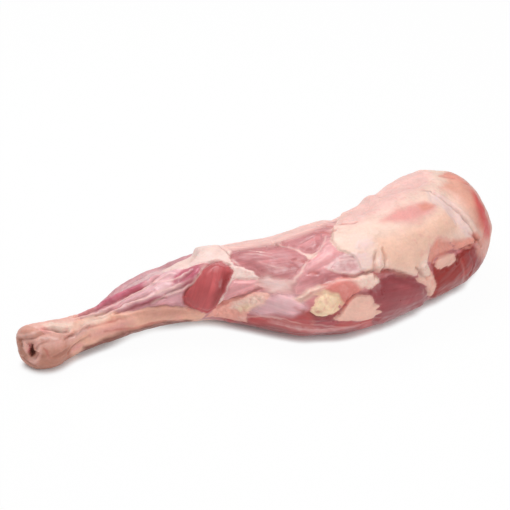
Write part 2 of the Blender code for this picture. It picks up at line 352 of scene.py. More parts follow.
          ((366, 58), (392, 52), (420, 50), (452, 54), (466, 46), (470, 30), (450, 28),
           (424, 27), (408, 12), (390, 16), (372, 26), (362, 42)), 9, 0.8, 9),
    Patch("pink shoulder", "stain and painted shading", "shoulder pink",
          ((474, 86), (480, 70), (486, 46), (491, 20), (510, 60), (507, 92), (490, 98)),
          8, 0.9, 5),
    Patch("pink of the hump", "stain and painted shading", "pale pink",
          ((402, 132), (412, 108), (430, 98), (462, 100), (480, 120), (480, 160), (410, 160)), 8),
    Patch("rim", "fat", "rim pink",
          ((488, 110), (500, 80), (498, 48), (494, 30), (500, 10), (512, -4), (530, -20),
           (538, 40), (530, 100), (506, 124)), 5, 0.5, 3),
    Patch("rim red", "stain and painted shading", "rim red",
          ((502, 64), (507, 54), (510, 42), (514, 32), (516, 18), (519, 0), (511, 2),
           (504, 14), (499, 28), (497, 40), (497, 52)), 5),
    Patch("rump end", "fat", "beige",
          ((500, 6), (514, 0), (524, -20), (520, -80), (570, -80), (570, 280), (516, 280),
           (520, 200), (524, 120), (530, 60), (524, 12), (508, -6)), 8, 0, 3),
    Patch("pink foot of the rump end", "stain and painted shading", "rim pink",
          ((488, 20), (506, 14), (520, 0), (520, -22), (502, -12), (490, 2)), 6),
    Patch("beige island", "fat", "beige",
          ((427, 9), (432, 15), (444, 16), (456, 13), (458, 5), (446, 3), (432, 5)),
          1.5, 1.6, 2, 0.15),
    Patch("red arc", "fat", "rim pink",
          ((421, 18), (425, 26), (438, 30), (450, 25), (458, 18), (446, 17), (432, 16),
           (427, 11)), 3, -0.6, 3, 0.5),
    Patch("ragged edge of the cap", "fat", "rim pink",
          ((456, 24), (466, 20), (478, 20), (488, 22), (490, 14), (480, 10), (470, 13),
           (458, 16)), 2.5, 1.2, 3, 0.9),
    Patch("thin place in the cap", "stain and painted shading", "light red",
          ((384, 74), (406, 80), (420, 76), (440, 71), (452, 61), (444, 56), (424, 54),
           (408, 56), (394, 66)), 7, -0.8, 6),
    Patch("red end of the thin place", "stain and painted shading", "rim pink",
          ((430, 71), (440, 71), (449, 63), (443, 59), (433, 62)), 4),
    # membranes
    Patch("upper membrane", "film", "lavender",
          ((344, 58), (351, 65), (366, 60), (364, 53), (350, 52)), 3, 0.3, 2),
    Patch("front membrane", "film", "lavender",
          ((310, 46), (320, 53), (332, 57), (352, 49), (358, 42), (352, 36), (344, 33),
           (334, 33), (322, 36), (314, 41)), 2, 0.3, 2.5),
    Patch("rump membrane", "film", "lavender",
          ((450, 88), (462, 80), (472, 62), (482, 36), (484, 20), (474, 22), (464, 34),
           (458, 52), (448, 70)), 4, -0.8, 4),
    Patch("lavender veil on the calf", "veil", "lavender",
          ((140, 44), (152, 34), (170, 34), (180, 44), (176, 62), (150, 64)), 6),
    # Partly membrane, partly painted light: the top of the shin is whitened where the light
    # bleaches it.
    Patch("white veil on the shin", "film", "cream",
          ((96, 128), (120, 118), (146, 106), (172, 110), (170, 150), (100, 150)), 8),
    # Painted light: the top of the thigh is made paler where the light bleaches it.
    Patch("pale top of the thigh", "stain and painted shading", "pale pink",
          ((228, 110), (262, 108), (290, 112), (330, 114), (344, 120), (344, 170), (228, 170)),
          9),
    Patch("veil on the back muscle", "veil", "lavender",
          ((252, 62), (270, 60), (284, 54), (272, 46), (258, 50)), 8),
    Patch("veil on the inner thigh", "veil", "lavender",
          ((250, 14), (260, 22), (270, 20), (272, 10), (258, 4), (248, 6)), 4),
    Patch("veil on the lower edge", "veil", "lavender",
          ((236, -6), (262, -6), (290, -12), (322, -20), (336, -26), (300, -26), (256, -16)), 5),
    # knobs of loose fat
    Patch("knob at the roll", "fat", "cream",
          ((337, 30), (349, 31), (356, 24), (359, 17), (350, 14), (340, 18)), 1.5, 3.0, 3.5, 0.5),
    Patch("knob under the folds", "fat", "cream",
          ((354, 36), (362, 38), (368, 30), (364, 24), (356, 26)), 1.5, 2.4, 3, 0.4),
    Patch("knob at the cap", "fat", "cream",
          ((408, 15), (414, 19), (420, 15), (422, 8), (416, 3), (409, 6)), 1.5, 3.4, 3, 0.8),
)

# A line on the chart: "seam" is pale fascia, also painted as highlight on ridges and lips, "crease"
# a groove darkened with painted shade, and "blood" red, also used for painted shade under edges and
# in dents. Its half width and lift are in mm, and it thins out towards both ends.
Line = namedtuple("Line", "name kind half_width lift path")
LINES = (
    Line("shin tendon", "seam", 1.7, 1.5,
         ((66, 88), (86, 85), (102, 80), (118, 72), (136, 69), (152, 70), (170, 80))),
    Line("groove on the shin", "crease", 1.6, -2.2,
         ((64, 98), (84, 96), (98, 92), (110, 86), (124, 83), (136, 79), (148, 78), (160, 92))),
    Line("second tendon", "seam", 1.5, 1.2,
         ((88, 72), (102, 59), (116, 47), (130, 45), (148, 45), (168, 47), (186, 54))),
    Line("between the tendons", "crease", 1.2, -1.3,
         ((84, 80), (98, 70), (108, 60), (118, 53), (130, 50), (146, 50))),
    Line("dark calf strip", "crease", 1.8, -1.7,
         ((104, 46), (114, 38), (126, 34), (142, 32), (156, 33))),
    Line("third tendon", "seam", 1.4, 1.0,
         ((140, 30), (156, 35), (174, 39), (188, 49), (198, 60))),
    Line("fourth tendon", "seam", 1.2, 0.8,
         ((150, 70), (164, 62), (178, 62), (190, 70))),
    Line("short dark calf line", "crease", 1.1, -1.2, ((158, 38), (170, 42), (180, 47), (192, 56))),
    Line("calf vein", "crease", 0.8, -0.8, ((176, 55), (186, 62), (194, 72))),
    Line("edge of the bone", "crease", 0.8, -0.9,
         ((112, 35), (124, 27), (142, 22), (158, 16), (174, 6), (186, -8))),
    Line("bone shade", "blood", 1.6, -0.6, ((70, 40), (84, 36), (98, 28), (112, 20))),
    Line("low bone shade", "blood", 1.8, -0.4, ((88, 6), (112, -2), (140, -10), (164, -20))),
    Line("belly rim", "crease", 0.9, -1.6,
         ((186, -12), (178, 2), (173, 14), (174, 27), (181, 40), (190, 52), (200, 66),
          (208, 74), (217, 76), (226, 66))),
    Line("belly inner fold", "seam", 1.1, 0.5, ((186, 48), (196, 60), (204, 72))),
    Line("mark on the knee", "crease", 0.9, -1.2, ((226, 124), (230, 106), (233, 92), (232, 84))),
    Line("front seam", "seam", 1.0, 0.4, ((232, 84), (232, 74), (236, 66))),
    Line("under the three-sided muscle", "crease", 1.2, -2.2,
         ((206, -4), (212, 6), (226, 15), (236, 21), (246, 26))),
    Line("long fascia", "seam", 1.6, 0.5,
         ((250, 24), (258, 27), (268, 31), (276, 37), (284, 46), (290, 54), (297, 62))),
    Line("fascia branch", "seam", 1.0, 0.3, ((246, 36), (256, 38), (268, 33))),
    Line("upper fascia", "seam", 1.2, 0.3,
         ((280, 122), (281, 100), (288, 90), (295, 80), (300, 71), (306, 68))),
    Line("groove by the upper fascia", "crease", 1.1, -1.5,
         ((279, 118), (278, 104), (284, 94))),
    Line("fascia to the cap", "seam", 1.0, 0.3, ((306, 69), (314, 72), (320, 80), (326, 92))),
    Line("dark dent", "blood", 2.6, -1.2, ((284, 67), (292, 64), (297, 61))),
    Line("small dent", "blood", 2.0, -0.8, ((291, 45), (297, 46), (300, 42))),
    Line("crease over the cap", "blood", 2.0, -1.4,
         ((330, 122), (340, 106), (348, 98), (360, 92))),
    Line("second crease over the cap", "blood", 1.7, -1.2, ((322, 106), (330, 98), (336, 92))),
    Line("first marbling", "seam", 0.7, 0.1, ((244, 88), (256, 84), (268, 74))),
    Line("second marbling", "seam", 0.6, 0.1, ((254, 66), (266, 58), (276, 56))),
    Line("third marbling", "seam", 0.6, 0.1, ((304, 54), (312, 58), (322, 64))),
    Line("first lower stripe", "seam", 0.7, 0.3, ((226, -20), (244, -8), (262, -4), (276, -8))),
    Line("second lower stripe", "seam", 0.6, 0.3, ((250, -14), (276, -16), (304, -18), (330, -22))),
    Line("third lower stripe", "seam", 0.6, 0.2, ((284, -8), (300, -12), (322, -20), (350, -22))),
    Line("blood in the lower edge", "blood", 2.6, 0.0,
         ((270, 10), (280, 5), (288, -4), (284, -12))),
    Line("dark run in the lower edge", "blood", 2.4, -0.5,
         ((236, -12), (252, -8), (270, -8), (286, -14))),
    # Painted shadow, partly blood: a dark run below the beige patch's lower edge.
    Line("blood under the beige patch", "blood", 2.2, -0.5,
         ((310, -12), (326, -17), (342, -20), (360, -20))),
    Line("blood by the bone", "blood", 2.2, -0.3, ((204, -8), (210, 0), (218, 6))),
    Line("first pit in the lump", "blood", 0.9, -0.8, ((305, 6), (309, 9))),
    Line("second pit in the lump", "blood", 0.9, -0.8, ((288, 7), (292, 8))),
    Line("under the yellow lump", "crease", 1.5, -2.2,
         ((282, 6), (288, 2), (296, 1), (306, -2), (314, 2), (318, 8), (322, 14))),
    Line("under the roll", "crease", 1.2, -1.8, ((318, 8), (326, 13), (336, 14), (346, 12))),
    Line("along the roll", "blood", 1.3, -0.9, ((276, 17), (288, 22), (298, 26), (310, 27))),
    Line("over the roll", "seam", 1.2, 0.6, ((304, 31), (318, 30), (330, 28))),
    Line("under the front membrane", "crease", 1.3, -2.0,
         ((322, 33), (332, 31), (342, 31), (352, 31), (358, 28))),
    Line("pale edge of the membrane", "seam", 1.3, 0.6,
         ((310, 46), (318, 38), (328, 34), (340, 33))),
    Line("membrane fold", "seam", 0.9, 0.4, ((322, 50), (334, 48), (350, 43))),
    Line("first fold of the cap", "crease", 1.1, -2.0, ((361, 46), (357, 38), (354, 31))),
    Line("second fold of the cap", "crease", 1.3, -2.4, ((370, 44), (369, 34), (364, 26))),
    Line("ridge between the folds", "seam", 1.5, 1.2, ((366, 44), (363, 36), (359, 31))),
    # Painted shadow on a real notch: darkened under the cap's thick edge.
    Line("notch under the cap", "blood", 3.4, -2.4, ((352, 25), (362, 25), (370, 22))),
    Line("under the cap", "crease", 1.3, -2.0,
         ((362, 26), (372, 22), (384, 17), (394, 11), (404, 5))),
    Line("by the knob", "crease", 1.4, -2.0, ((404, 16), (408, 12), (410, 6), (416, 2))),
    Line("under the knob", "blood", 1.6, -1.4, ((416, 2), (422, 6), (424, 10))),
    Line("rump crease", "crease", 1.0, -2.0,
         ((458, 82), (464, 70), (469, 58), (476, 46), (481, 34), (486, 24), (488, 16))),
    Line("lip of the rump crease", "seam", 1.2, 0.9,
         ((462, 84), (468, 72), (474, 60), (481, 46), (486, 34), (490, 24))),
    Line("grey spots over the crease", "crease", 1.0, -0.8, ((446, 90), (456, 84), (462, 76))),
    Line("ragged end of the crease", "crease", 1.8, -1.6,
         ((488, 17), (482, 13), (474, 14), (464, 15))),
    Line("second ragged end", "blood", 2.4, -1.0, ((480, 24), (486, 20), (484, 13), (468, 14))),
    Line("third ragged end", "crease", 1.2, -1.2, ((484, 21), (492, 14), (498, 6))),
    # Painted shadow in a real crease beside the beige island.
    Line("beside the beige island", "crease", 1.0, -1.2, ((458, 15), (462, 9), (457, 3))),
    Line("over the beige island", "blood", 2.0, -1.2, ((424, 12), (432, 17), (446, 18), (458, 15))),
    Line("rump seam", "blood", 1.6, -0.7, ((462, 4), (470, -8), (474, -20), (470, -32))),
    Line("second rump seam", "crease", 1.0, -1.0, ((478, 6), (482, -4), (480, -16))),
    Line("rim mark", "blood", 1.5, -0.5, ((486, 110), (492, 101), (496, 94))),
    Line("second rim mark", "blood", 1.5, -0.5, ((500, 80), (505, 75), (509, 66))),
    Line("heel crease", "crease", 1.5, -2.4, ((26, 84), (34, 75), (41, 67), (50, 60))),
    Line("top edge of the ball", "seam", 1.6, 0.9, ((20, 60), (30, 56), (38, 48))),
    Line("neck fold", "crease", 1.2, -2.0, ((44, 38), (50, 42), (58, 46))),
    Line("second neck fold", "crease", 1.1, -1.6, ((58, 38), (66, 44), (74, 45))),
    Line("ridge between the neck folds", "seam", 1.4, 1.2, ((50, 36), (60, 41), (70, 41))),
    Line("low neck fold", "crease", 1.2, -1.6, ((46, -16), (54, -8), (62, 4), (72, 12))),
    Line("low crack", "crease", 1.2, -1.2, ((32, -8), (38, -1), (46, -2))),
    Line("ball streak", "blood", 1.6, -0.5, ((22, 30), (26, 14), (28, -4))),
    Line("far seam", "seam", 1.4, 0.5,
         ((240, 190), (262, 212), (300, 250), (350, 254), (420, 262))),
    Line("far calf seam", "seam", 1.4, 0.9, ((96, 170), (130, 176), (170, 182), (220, 190))),
    Line("far calf groove", "crease", 1.3, -1.8, ((100, 196), (140, 206), (190, 214), (228, 206))),
    Line("under seam", "seam", 1.4, 0.4, ((240, 300), (290, 290), (340, 300), (420, 316))),
)

# The joint face at the hock has a small chart of its own: mm across it and mm up it, from the open
# end of the bone. Its place is in the frame's mm, measured along from the hock's tip.
FACE_ALONG, FACE_Y, FACE_Z = 10.4, 0.3, 28.3
FACE_TURN = math.radians(38)
FACE_DEPTH = 13.0
FACE_PATCHES = (
    Patch("face", "fat", "hock tan",
          ((-14, -16), (-17, 0), (-14, 14), (0, 20), (9, 17), (9, -4), (6, -18), (-4, -20)),
          4, -0.8, 4, 0.3),
    Patch("brown side of the face", "stain and painted shading", "hock brown and shade",
          ((-15, -10), (-15, 8), (-7, 12), (-4, 0), (-6, -14)), 3),
    Patch("wall beside the hole", "stain and painted shading", "dark red",
          ((-5, 5), (1, 8), (0, -6), (-5, -5)), 2, -1.8, 2),
    Patch("hole", "stain and painted shading", "marrow",
          ((1.0, 8.5), (4.0, 7.5), (4.8, 1), (3.6, -6), (0, -9), (-3, -7), (-1.6, -2), (0, 3)),
          1.2, -5.0, 2.6),
    Patch("nub", "fat", "hock pink",
          ((-9, 7), (-5, 8), (-4, 1), (-6, -5), (-9, -1)), 1.5, 2.2, 2.5, 0.4),
    # Painted shade on a real dent: darkened round the nub.
    Patch("dent by the nub", "stain and painted shading", "hock brown and shade",
          ((-12.5, 5), (-9.5, 6), (-9.5, 0), (-12, 0)), 1.5, -1.6, 2),
    Patch("pale lip", "stain and painted shading", "hock pink",
          ((-10, 10), (-2, 13), (8, 15), (12, 8), (10, -8), (5, -16), (-4, -17), (-2, -12),
           (5, -8), (7, 3), (4, 10), (-6, 8)), 2, 0.8, 2.5),
)
FACE_LINES = (
    Line("crease over the face", "crease", 1.1, -1.2, ((-16, 6), (-7, 10), (3, 13), (10, 16))),
    Line("crease under the face", "crease", 1.0, -1.0, ((-12, -14), (-4, -19), (4, -20))),
    Line("lip over the crease", "seam", 0.9, 0.6, ((-15, 10), (-6, 14), (4, 17))),
    Line("crack by the hole", "crease", 1.0, -1.2, ((6, 3), (9, 8), (14, 10))),
)

# ---- natural edges and small relief ----
EDGE_WANDER = ((15.0, 1.9, 11), (5.0, 0.9, 12))  # size, reach and seed, the first two in mm
OUTLINE_MARGIN = 16.0
FIELD_LIMIT = 6.0
CRUMB_SIZE = 4.6
CRUMB_HEIGHT = 2.4
THINNEST_LINE = 1.1  # mm, about the pitch of the grid
LUMPS = ((24.0, 0.8, 21), (8.0, 0.32, 22), (3.8, 0.16, 23))  # size, height and seed
BUNDLE_SIZE, BUNDLE_LENGTH, BUNDLE_HEIGHT = 4.5, 55.0, 0.35  # of muscle fibres
VEIL_STRENGTH = 0.5


def smooth_step(value):
    """0 below 0, 1 above 1, and a smooth rise between."""
    t = np.clip(value, 0, 1)
    return t * t * (3 - 2 * t)


def lump_noise(points, size, seed):
    """Smooth noise from -1 to 1 at points in mm, with lumps about size mm across."""
    table = np.random.default_rng(seed).uniform(-1, 1, (64, 64, 64))
    scaled = points / size
    cell = np.floor(scaled).astype(int)
    t = scaled - cell
    t = t * t * (3 - 2 * t)
    total = np.zeros(len(points))
    for corner in itertools.product((0, 1), repeat=3):
        share = np.prod(np.where(corner, t, 1 - t), axis=1)
        x, y, z = ((cell + corner) % 64).T
        total += share * table[x, y, z]
    return total


def crumbs(points, size, seed):
    """Rounded crumbs from 0 between them to 1 on their tops, at points in mm."""
    table = np.random.default_rng(seed).uniform(0, 1, (32, 32, 32, 3))
    scaled = points / size
    cell = np.floor(scaled).astype(int)
    nearest = np.full(len(points), 9.0)
    for corner in itertools.product((-1, 0, 1), repeat=3):
        there = cell + corner
        x, y, z = (there % 32).T
        gap = np.linalg.norm(there + table[x, y, z] - scaled, axis=1)
        nearest = np.minimum(nearest, gap)
    return np.clip(1 - nearest, 0, 1)


def solid_tree(node):
    """A search tree of the solid's surface, with its facets rounded by subdivision."""
    rounded = bpy.data.objects.new("rounded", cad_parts[node].data.copy())
    bpy.context.scene.collection.objects.link(rounded)
    weld = rounded.modifiers.new("weld", "WELD")
    weld.merge_threshold = 0.01 * MM
    subdivision = rounded.modifiers.new("subdivision", "SUBSURF")
    subdivision.levels = 2
    tree = BVHTree.FromObject(rounded, bpy.context.evaluated_depsgraph_get())
    mesh = rounded.data
    bpy.data.objects.remove(rounded)
    bpy.data.meshes.remove(mesh)
    return tree


def middle_line(node):
    """The leg's middle: places along it in mm, and y and z there, from the solid's corners."""
    corners = np.array([v.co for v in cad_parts[node].data.vertices]) / MM
    start = corners[:, 0].min()
    along = np.arange(2.0, corners[:, 0].max() - start, 2.0)
    middles = []
    for place in along:
        near = corners[np.abs(corners[:, 0] - start - place) < MIDDLE_REACH]
        middles.append((near.min(axis=0) + near.max(axis=0))[1:] / 2)
    middles = np.array(middles)
    gap = (along[:, None] - along[None, :]) / MIDDLE_BLUR
    weight = np.exp(-gap * gap / 2)
    return along, weight @ middles / weight.sum(axis=1, keepdims=True)


def side_angles():
    """Angles round the leg in degrees, close together on the shown side."""
    shown = np.linspace(SHOWN_FROM, SHOWN_TO, SHOWN_SIDES, endpoint=False)
    hidden = np.linspace(SHOWN_TO, SHOWN_FROM + 360, HIDDEN_SIDES, endpoint=False)
    return np.concatenate([shown, hidden])


def ring_rays():
    """For each ring, where its rays start along the leg, and how far they lean to an end."""
    straight = np.arange(HOCK_CAP_START, RUMP_CAP_START, RING_STEP)
    hock = np.linspace(-90, 0, HOCK_CAP_RINGS + 1)[1:-1]
    rump = np.linspace(0, 90, RUMP_CAP_RINGS + 1)[:-1]
    starts = [np.full(len(hock), HOCK_CAP_START), straight, np.full(len(rump), RUMP_CAP_START)]
    leans = [hock, np.zeros(len(straight)), rump]
    return np.concatenate(starts), np.concatenate(leans)


def cast_skin(node):
    """Rings of points on the solid, RINGS x SIDES x 3, in mm, and the two end points."""
    tree = solid_tree(node)
    along, middles = middle_line(node)
    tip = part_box(node)[0].x / MM
    angles = np.radians(side_angles())

    def hit(start, direction):
        y, z = (np.interp(start, along, middles[:, k]) for k in (0, 1))
        origin = Vector((tip + start, y, z)) * MM
        place = tree.ray_cast(origin, Vector(direction))[0]
        return np.array(place) / MM

    rings = []
    for start, lean in zip(*ring_rays(), strict=True):
        c, s = math.cos(math.radians(lean)), math.sin(math.radians(lean))
        rings.append([hit(start, (s, -c * math.cos(a), c * math.sin(a))) for a in angles])
    return np.array(rings), hit(HOCK_CAP_START, (-1, 0, 0)), hit(RUMP_CAP_START, (1, 0, 0))


def smoothed(rings, ends, passes):
    """The rings with each point moved towards the mean of its neighbours, passes times."""
    for _ in range(passes):
        rings = (np.roll(rings, 1, axis=1) + 2 * rings + np.roll(rings, -1, axis=1)) / 4
        first = np.broadcast_to(ends[0], rings[:1].shape)
        last = np.broadcast_to(ends[1], rings[:1].shape)
        padded = np.concatenate([first, rings, last])
        rings = (padded[:-2] + 2 * padded[1:-1] + padded[2:]) / 4
        ends = (rings[0].mean(axis=0) + ends[0]) / 2, (rings[-1].mean(axis=0) + ends[1]) / 2
    return rings, ends


def ring_normals(rings, ends):
    """Unit normals of the grid, pointing out of the leg."""
    first = np.broadcast_to(ends[0], rings[:1].shape)
    last = np.broadcast_to(ends[1], rings[:1].shape)
    padded = np.concatenate([first, rings, last])
    down = padded[2:] - padded[:-2]
    round_it = np.roll(rings, -1, axis=1) - np.roll(rings, 1, axis=1)
    normal = np.cross(down, round_it)
    return normal / np.linalg.norm(normal, axis=2, keepdims=True)


class Chart:
    """Where each point of the skin is on the leg, in mm along it and degrees round it."""

    def __init__(self, node, rings):
        along, middles = middle_line(node)
        self.points = rings.reshape(-1, 3)
        self.along = self.points[:, 0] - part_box(node)[0].x / MM
        y, z = (np.interp(self.along, along, middles[:, k]) for k in (0, 1))
        out, up = y - self.points[:, 1], self.points[:, 2] - z
        self.reach = np.hypot(out, up)
        self.angle = (np.degrees(np.arctan2(up, out)) - FIRST_ANGLE) % 360 + FIRST_ANGLE
        self.wander_along = np.zeros(len(self.points))
        self.wander_round = np.zeros(len(self.points))
        for size, reach, seed in EDGE_WANDER:
            self.wander_along += reach * lump_noise(self.points, size, seed)
            self.wander_round += reach * lump_noise(self.points, size, seed + 50)

    def near(self, path, margin):
        """Which points may lie within margin mm of a path, and the path's offsets from them."""
        path = np.array(path, float)
        centre = (path[:, 1].min() + path[:, 1].max()) / 2
        turn = (self.angle - centre + 180) % 360 - 180
        half = (path[:, 1].max() - path[:, 1].min()) / 2
        spare = (np.abs(turn) - half) * np.radians(self.reach)
        low, high = path[:, 0].min() - margin, path[:, 0].max() + margin
        some = np.flatnonzero((self.along > low) & (self.along < high) & (spare < margin))
        run = path[:, 0] - (self.along + self.wander_along)[some, None]
        arc = np.radians(path[:, 1] - centre - turn[some, None]) * self.reach[some, None]
        return some, run, arc - self.wander_round[some, None]


class FaceChart:
    """Where points of the hock's joint face are, in mm across it and up it from the bone's end."""

    def __init__(self, node, points):
        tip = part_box(node)[0].x / MM
        c, s = math.cos(FACE_TURN), math.sin(FACE_TURN)
        offset = points - [tip + FACE_ALONG, FACE_Y, FACE_Z]
        self.place = offset @ np.array([[s, 0], [-c, 0], [0, 1]])
        self.depth = offset @ [c, s, 0]

    def near(self, path, margin):
        """As for the whole leg's chart, for the points on the face."""
        path = np.array(path, float)
        low, high = path.min(axis=0) - margin, path.max(axis=0) + margin
        within = np.all((self.place > low) & (self.place < high), axis=1)
        some = np.flatnonzero(within & (self.depth < FACE_DEPTH))
        return some, *(path[:, k] - self.place[some, k, None] for k in (0, 1))


def nearest_on(x0, y0, x1, y1):
    """Distance from the origin to the segment, and how far along the segment that is."""
    dx, dy = x1 - x0, y1 - y0
    t = np.clip(-(x0 * dx + y0 * dy) / np.maximum(dx * dx + dy * dy, 1e-9), 0, 1)
    return np.hypot(x0 + t * dx, y0 + t * dy), t


def outline_field(chart, outline):
    """Points near an outline, and how far inside it they are, in mm, below 0 outside."""
    some, run, arc = chart.near(outline, OUTLINE_MARGIN)
    gap = np.full(len(some), 1e9)
    inside = np.zeros(len(some), bool)
    for i in range(len(outline)):
        j = (i + 1) % len(outline)
        x0, y0, x1, y1 = run[:, i], arc[:, i], run[:, j], arc[:, j]
        gap = np.minimum(gap, nearest_on(x0, y0, x1, y1)[0])
        crosses = (y0 > 0) != (y1 > 0)
        with np.errstate(divide="ignore", invalid="ignore"):
            inside ^= crosses & (x0 - y0 * (x1 - x0) / (y1 - y0) > 0)
    return some, np.where(inside, gap, -gap)


def line_field(chart, line):
    """Points near a line, and how far inside its tapered width they are, in mm."""
    some, run, arc = chart.near(line.path, OUTLINE_MARGIN)
    best = np.full(len(some), 1e9)
    share = np.zeros(len(some))
    pieces = len(line.path) - 1
    for i in range(pieces):
        gap, t = nearest_on(run[:, i], arc[:, i], run[:, i + 1], arc[:, i + 1])
        share = np.where(gap < best, (i + t) / pieces, share)
        best = np.minimum(best, gap)
    width = line.half_width * (0.35 + 0.65 * np.sqrt(np.sin(math.pi * np.clip(share, 0, 1))))
    return some, best, width


class Skin:
    """The fields that patches and lines write on the leg's points."""

    def __init__(self, chart):
        count = len(chart.points)
        self.chart = chart
        self.height = np.zeros(count)
        self.fat = np.full(count, -FIELD_LIMIT)
        self.film = np.zeros(count)
        self.crumb = np.zeros(count)
        self.lines = {kind: np.zeros(count) for kind in ("seam", "crease", "blood")}
        redder = smooth_step(lump_noise(chart.points, 45, 31) + 0.5)[:, None]
        rose, deep = (np.array(PALETTE[name]) for name in ("rose", "deep rose"))
        self.muscle_colour = rose + (deep - rose) * redder
        self.fat_colour = np.tile(PALETTE["pale pink"], (count, 1)).astype(float)
        arc = np.radians(chart.angle) * chart.reach
        self.grain = np.stack([chart.along, arc, np.zeros(count)], axis=1)

    def paint(self, patch, chart):
        """Lays one patch over what is there."""
        some, inside = outline_field(chart, patch.outline)
        on = smooth_step(inside / patch.rise)
        self.height[some] += patch.lift * on
        if patch.tissue == "form":
            return
        share = smooth_step((inside + patch.fade) / (2 * patch.fade))
        if patch.tissue in ("film", "veil"):
            strength = 1 if patch.tissue == "film" else VEIL_STRENGTH
            self.film[some] = np.maximum(self.film[some], strength * share)
            return
        # A tinting patch: real discolouring, and also painted light and shade such as paler tops
        # and darker undersides.
        if patch.tissue == "stain and painted shading":
            self.tint(some, patch.colour, share, (self.fat_colour, self.muscle_colour))
            return
        wide = smooth_step((inside + patch.fade + 1.5) / (2 * patch.fade))
        self.film[some] *= 1 - smooth_step(inside / 1.5 + 0.5)
        self.crumb[some] += (patch.crumb - self.crumb[some]) * on
        clipped = np.clip(inside, -FIELD_LIMIT, FIELD_LIMIT)
        if patch.tissue == "fat":
            self.fat[some] = np.maximum(self.fat[some], clipped)
            self.tint(some, patch.colour, wide, (self.fat_colour,))
            return
        self.fat[some] = np.minimum(self.fat[some], -clipped)
        self.tint(some, patch.colour, wide, (self.muscle_colour,))
        self.turn_grain(some, patch, smooth_step(inside + 0.5)[:, None])

    def tint(self, some, name, share, layers):
        """Takes the colour of some points towards one of the palette's."""
        for layer in layers:
            layer[some] += (np.array(PALETTE[name]) - layer[some]) * share[:, None]

    def turn_grain(self, some, patch, share):
        """Turns the fibres of one muscle its own way."""
        along, angle = np.mean(patch.outline, axis=0)
        run = self.chart.along[some] - along
        arc = np.radians(self.chart.angle[some] - angle) * self.chart.reach[some]
        c, s = math.cos(math.radians(patch.grain)), math.sin(math.radians(patch.grain))
        turned = np.stack([run * c + arc * s, arc * c - run * s, 0 * run], axis=1)
        self.grain[some] += (turned - self.grain[some]) * share

    def draw(self, line, chart):
        """Draws one line over what is there; a crease has raised lips."""
        some, gap, width = line_field(chart, line)
        spread = np.maximum(width, THINNEST_LINE)
        uneven = 0.8 + 0.35 * lump_noise(self.chart.points[some], 7, 41)
        amount = uneven * width / spread * np.exp(-((gap / spread) ** 2))
        self.lines[line.kind][some] = np.maximum(self.lines[line.kind][some], amount)
        bed = np.exp(-((gap / (1.4 * spread)) ** 2))
        if line.lift < 0:
            bed -= 0.35 * np.exp(-(((gap - 2.6 * spread) / spread) ** 2))
        self.height[some] += line.lift * uneven * bed

    def roughen(self):
        """Adds the small relief: crumbs in loose fat, bundles of fibres, and soft lumps."""
        points = self.chart.points
        grains = crumbs(points, CRUMB_SIZE, 5) + 0.5 * crumbs(points, CRUMB_SIZE / 2, 6)
        self.height += CRUMB_HEIGHT * self.crumb * (grains - 0.7)
        self.crumb *= smooth_step(1.3 - 1.2 * grains)
        stretch = np.array([BUNDLE_SIZE / BUNDLE_LENGTH, 1, 1])
        bundles = lump_noise(self.grain * stretch, BUNDLE_SIZE, 24)
        self.height += BUNDLE_HEIGHT * bundles * smooth_step(0.5 - self.fat / 2)
        for size, reach, seed in LUMPS:
            self.height += reach * lump_noise(points, size, seed)


def grid_faces(ring_count, side_count):
    """Corner numbers of the quads between the rings, and of the triangles at both ends."""
    i, j = np.meshgrid(np.arange(ring_count - 1), np.arange(side_count), indexing="ij")
    k = (j + 1) % side_count
    corners = (i * side_count + j, (i + 1) * side_count + j, (i + 1) * side_count + k,
               i * side_count + k)
    quads = np.stack(corners, axis=-1).reshape(-1, 4)
    side = np.arange(side_count)
    after = (side + 1) % side_count
    first_end, last_end = ring_count * side_count, ring_count * side_count + 1
    last = (ring_count - 1) * side_count
    start = np.stack([side, after, np.full(side_count, first_end)], axis=1)
    finish = np.stack([last + after, last + side, np.full(side_count, last_end)], axis=1)
    return quads, np.concatenate([start, finish])


def make_mesh(name, points, quads, triangles):
    """A smooth mesh from points in mm and corner numbers."""
    mesh = bpy.data.meshes.new(name)
    mesh.vertices.add(len(points))
    mesh.vertices.foreach_set("co", (points * MM).ravel())
    loops = np.concatenate([quads.ravel(), triangles.ravel()])
    sizes = np.concatenate([np.full(len(quads), 4), np.full(len(triangles), 3)])
    mesh.loops.add(len(loops))
    mesh.loops.foreach_set("vertex_index", loops)
    mesh.polygons.add(len(sizes))
    mesh.polygons.foreach_set("loop_start", np.concatenate([[0], np.cumsum(sizes)[:-1]]))
    mesh.update(calc_edges=True)
    mesh.validate()
    mesh.shade_smooth()
    return mesh


def keep_attribute(mesh, name, values):
    """Stores three numbers at each point of the mesh."""
    attribute = mesh.attributes.new(name, "FLOAT_VECTOR", "POINT")
    attribute.data.foreach_set("vector", np.ascontiguousarray(values, np.float32).ravel())


def with_ends(values, ring_count):
    """The values of the grid's points, with the mean of each end ring added for its end point."""
    grid = values.reshape(ring_count, -1, values.shape[-1])
    return np.concatenate([values, grid[:1].mean(axis=1), grid[-1:].mean(axis=1)])


def paint_skin(rings):
    """The tissues of the whole leg, laid on its points in order."""
    chart = Chart(NODE, rings)
    skin = Skin(chart)
    face = FaceChart(NODE, chart.points)
    for patches, lines, where in ((PATCHES, LINES, chart), (FACE_PATCHES, FACE_LINES, face)):
        for patch in patches:
            skin.paint(patch, where)
        for line in lines:
            skin.draw(line, where)
    skin.roughen()
    return skin


